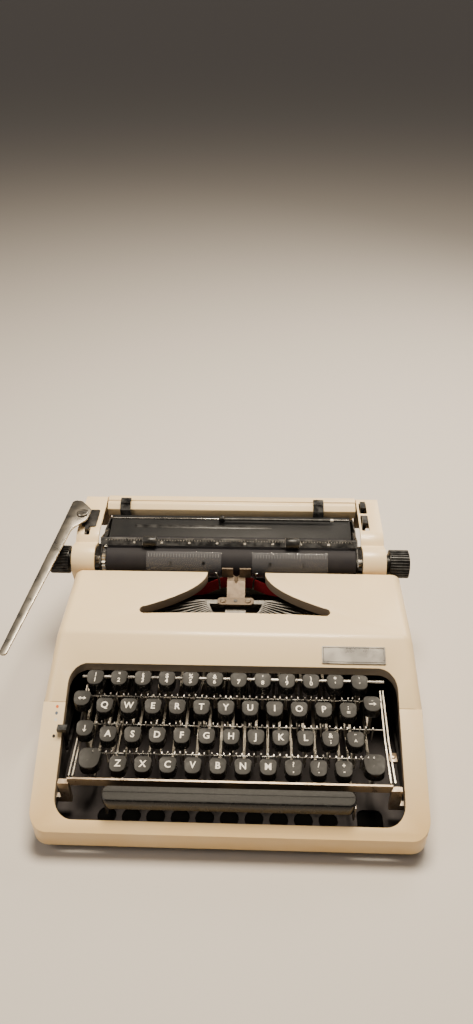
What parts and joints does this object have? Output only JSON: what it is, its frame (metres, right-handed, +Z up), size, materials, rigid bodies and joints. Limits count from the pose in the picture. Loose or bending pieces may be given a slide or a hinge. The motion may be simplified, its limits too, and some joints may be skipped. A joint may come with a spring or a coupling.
{
  "type": "typewriter",
  "caption": "Portable manual typewriter in ivory casing: stepped round keys, type basket opening, sliding carriage with platen, paper bail, knobs and return lever.",
  "frame": {"origin": "under the middle of the whole machine's box, on the surface that its feet stand on", "axes": "+Z up, +X to the typist's right, +Y from the keyboard towards the carriage"},
  "size_m": [0.3412, 0.306, 0.1241],
  "materials": {
    "cream_shell": "ivory lacquer, satin",
    "key_plastic": "black moulded plastic with grey dished tops",
    "black_plastic": "black moulded plastic",
    "steel": "nickel-plated steel",
    "dark_steel": "black lacquered steel",
    "tan_steel": "aged nickel over brass",
    "rubber": "dark rubber",
    "paper_table_grey": "dark grey crackle lacquer",
    "ribbon_cloth": "red and black inked cotton ribbon",
    "clear_plate": "clear plastic with a scale",
    "plate_metal": "brushed plate"
  },
  "bodies": {
    "machine": {"base_pan": "dark_steel", "lower_frame": "cream_shell", "rear_panel": "cream_shell", "foot_front_left": "rubber", "foot_front_right": "rubber", "foot_rear_left": "rubber", "foot_rear_right": "rubber", "side_frame_left": "dark_steel", "side_frame_right": "dark_steel", "fulcrum_rod_1": "steel", "fulcrum_rod_2": "steel", "fulcrum_rod_3": "steel", "fulcrum_rod_4": "steel", "key_comb": "tan_steel", "key_stop_bar": "steel", "carriage_rail": "steel", "spool_cup_left": "dark_steel", "spool_cup_right": "dark_steel", "bell": "steel", "ribbon": "ribbon_cloth", "card_guide": "clear_plate"},
    "cover": {"top_cover": "cream_shell", "badge_plate": "plate_metal"},
    "basket": {"segment": "steel", "typebar_set": "steel", "type_guide": "tan_steel"},
    "carriage": {"carriage_frame": "dark_steel", "end_cap_left": "cream_shell", "end_cap_right": "cream_shell", "rear_rail": "cream_shell", "paper_table": "paper_table_grey"},
    "platen": {"platen": "rubber", "platen_shaft": "steel", "platen_knob_left": "black_plastic", "platen_knob_right": "black_plastic"},
    "feed_roller": {"feed_roller": "rubber"},
    "paper_bail": {"paper_bail": "steel"},
    "bail_roller_left": {"bail_roller_left": "rubber"},
    "bail_roller_right": {"bail_roller_right": "rubber"},
    "margin_stop_left": {"margin_stop_left": "black_plastic"},
    "margin_stop_right": {"margin_stop_right": "black_plastic"},
    "paper_rest_arm": {"paper_rest_arm": "dark_steel"},
    "paper_release_lever": {"paper_release_lever": "black_plastic"},
    "carriage_release_lever": {"carriage_release_lever": "black_plastic"},
    "line_space_selector": {"line_space_selector": "black_plastic"},
    "return_lever": {"return_lever": "steel"},
    "ribbon_selector": {"ribbon_selector": "black_plastic"},
    "ribbon_spool_left": {"ribbon_spool_left": "black_plastic"},
    "ribbon_spool_right": {"ribbon_spool_right": "black_plastic"},
    "mainspring_drum": {"mainspring_drum": "steel"},
    "escapement_wheel": {"escapement_wheel": "steel"},
    "key_row_1": {"key_row_1": "key_plastic"},
    "key_row_2": {"key_row_2": "key_plastic"},
    "key_row_3": {"key_row_3": "key_plastic"},
    "key_row_4": {"key_row_4": "key_plastic"},
    "margin_release_key": {"margin_release_key": "key_plastic"},
    "backspace_key": {"backspace_key": "key_plastic"},
    "shift_lock_key": {"shift_lock_key": "key_plastic"},
    "shift_keys": {"shift_keys": "key_plastic"},
    "space_bar": {"space_bar": "key_plastic"}
  },
  "joints": [
    {"name": "cover_lift", "type": "slide", "parent": "machine", "child": "cover", "axis": [0, 0, 1], "range_m": [0, 0.04]},
    {"name": "basket_shift", "type": "slide", "parent": "machine", "child": "basket", "axis": [0, 0, -1], "range_m": [0, 0.0065], "stiffness_N_per_m": 500, "springref_m": -0.012},
    {"name": "carriage_slide", "type": "slide", "parent": "machine", "child": "carriage", "axis": [1, 0, 0], "range_m": [-0.102, 0.118]},
    {"name": "platen_spin", "type": "hinge", "parent": "carriage", "child": "platen", "pos_m": [0.00564, 0.078, 0.093], "axis": [1, 0, 0], "continuous": true},
    {"name": "feed_spin", "type": "hinge", "parent": "carriage", "child": "feed_roller", "pos_m": [0.00564, 0.083, 0.07436], "axis": [1, 0, 0], "continuous": true},
    {"name": "bail_lift", "type": "hinge", "parent": "carriage", "child": "paper_bail", "pos_m": [0.00564, 0.111, 0.101], "axis": [-1, 0, 0], "range_deg": [0, 65]},
    {"name": "bail_roller_left_spin", "type": "hinge", "parent": "paper_bail", "child": "bail_roller_left", "pos_m": [-0.06636, 0.081, 0.1132], "axis": [1, 0, 0], "continuous": true},
    {"name": "bail_roller_right_spin", "type": "hinge", "parent": "paper_bail", "child": "bail_roller_right", "pos_m": [0.06414, 0.081, 0.1132], "axis": [1, 0, 0], "continuous": true},
    {"name": "margin_left_slide", "type": "slide", "parent": "carriage", "child": "margin_stop_left", "axis": [1, 0, 0], "range_m": [-0.01, 0.088]},
    {"name": "margin_right_slide", "type": "slide", "parent": "carriage", "child": "margin_stop_right", "axis": [1, 0, 0], "range_m": [-0.07, 0.028]},
    {"name": "paper_arm_raise", "type": "hinge", "parent": "carriage", "child": "paper_rest_arm", "pos_m": [-0.00236, 0.123, 0.108], "axis": [0, -1, 0], "range_deg": [0, 75]},
    {"name": "paper_release_press", "type": "hinge", "parent": "carriage", "child": "paper_release_lever", "pos_m": [0.13314, 0.117, 0.098], "axis": [1, 0, 0], "range_deg": [0, 12]},
    {"name": "carriage_release_press", "type": "hinge", "parent": "carriage", "child": "carriage_release_lever", "pos_m": [0.13314, 0.137, 0.098], "axis": [1, 0, 0], "range_deg": [0, 10], "stiffness_Nm_per_rad": 0.02, "springref_deg": -14.32},
    {"name": "line_space_select", "type": "hinge", "parent": "carriage", "child": "line_space_selector", "pos_m": [-0.12786, 0.1025, 0.098], "axis": [1, 0, 0], "range_deg": [-14, 6]},
    {"name": "return_lever_swing", "type": "hinge", "parent": "carriage", "child": "return_lever", "pos_m": [-0.13336, 0.111, 0.121], "axis": [0, 0, 1], "range_deg": [0, 35], "stiffness_Nm_per_rad": 0.15, "springref_deg": -17.19},
    {"name": "ribbon_select", "type": "slide", "parent": "machine", "child": "ribbon_selector", "axis": [0, 0.8806, 0.4738], "range_m": [-0.005, 0.005]},
    {"name": "ribbon_left_spin", "type": "hinge", "parent": "machine", "child": "ribbon_spool_left", "pos_m": [-0.08836, -0.001, 0.07], "axis": [0, 0, 1], "continuous": true},
    {"name": "ribbon_right_spin", "type": "hinge", "parent": "machine", "child": "ribbon_spool_right", "pos_m": [0.11564, -0.001, 0.07], "axis": [0, 0, 1], "continuous": true},
    {"name": "mainspring_turn", "type": "hinge", "parent": "machine", "child": "mainspring_drum", "pos_m": [-0.07836, 0.094, 0.034], "axis": [0, 1, 0], "range_deg": [-280, 323]},
    {"name": "escapement_turn", "type": "hinge", "parent": "machine", "child": "escapement_wheel", "pos_m": [0.01364, 0.094, 0.042], "axis": [0, 1, 0], "range_deg": [-724, 837]},
    {"name": "key_row_4_press", "type": "hinge", "parent": "machine", "child": "key_row_4", "pos_m": [0.01364, 0.047, 0.027], "axis": [1, 0, 0], "range_deg": [0, 4.65], "stiffness_Nm_per_rad": 1.5, "springref_deg": -11.46},
    {"name": "key_row_3_press", "type": "hinge", "parent": "machine", "child": "key_row_3", "pos_m": [0.01364, 0.047, 0.036], "axis": [1, 0, 0], "range_deg": [0, 5.3], "stiffness_Nm_per_rad": 1.5, "springref_deg": -11.46},
    {"name": "key_row_2_press", "type": "hinge", "parent": "machine", "child": "key_row_2", "pos_m": [0.01364, 0.047, 0.045], "axis": [1, 0, 0], "range_deg": [0, 6.1], "stiffness_Nm_per_rad": 1.5, "springref_deg": -11.46},
    {"name": "key_row_1_press", "type": "hinge", "parent": "machine", "child": "key_row_1", "pos_m": [0.01364, 0.047, 0.054], "axis": [1, 0, 0], "range_deg": [0, 7.2], "stiffness_Nm_per_rad": 1.5, "springref_deg": -11.46},
    {"name": "margin_release_key_press", "type": "hinge", "parent": "machine", "child": "margin_release_key", "pos_m": [-0.10336, 0.047, 0.045], "axis": [1, 0, 0], "range_deg": [0, 4], "stiffness_Nm_per_rad": 0.3, "springref_deg": -11.46},
    {"name": "backspace_key_press", "type": "hinge", "parent": "machine", "child": "backspace_key", "pos_m": [0.12304, 0.047, 0.045], "axis": [1, 0, 0], "range_deg": [0, 4], "stiffness_Nm_per_rad": 0.3, "springref_deg": -11.46},
    {"name": "shift_lock_key_press", "type": "hinge", "parent": "machine", "child": "shift_lock_key", "pos_m": [-0.09886, 0.047, 0.036], "axis": [1, 0, 0], "range_deg": [0, 3.5], "stiffness_Nm_per_rad": 0.3, "springref_deg": -11.46},
    {"name": "shift_press", "type": "hinge", "parent": "machine", "child": "shift_keys", "pos_m": [0.01364, 0.047, 0.027], "axis": [1, 0, 0], "range_deg": [0, 3.6]},
    {"name": "space_bar_press", "type": "hinge", "parent": "machine", "child": "space_bar", "pos_m": [0.01364, 0.047, 0.027], "axis": [1, 0, 0], "range_deg": [0, 2.8], "stiffness_Nm_per_rad": 1.5, "springref_deg": -17.19}
  ],
  "couplings": [
    {"joint": "feed_spin", "follows": "platen_spin", "ratio": -3.75},
    {"joint": "ribbon_right_spin", "follows": "ribbon_left_spin", "ratio": 1.7},
    {"joint": "mainspring_turn", "follows": "carriage_slide", "rad_per_m": 47.6},
    {"joint": "escapement_turn", "follows": "carriage_slide", "rad_per_m": 123.7},
    {"joint": "shift_press", "follows": "basket_shift", "rad_per_m": 9.4}
  ]
}
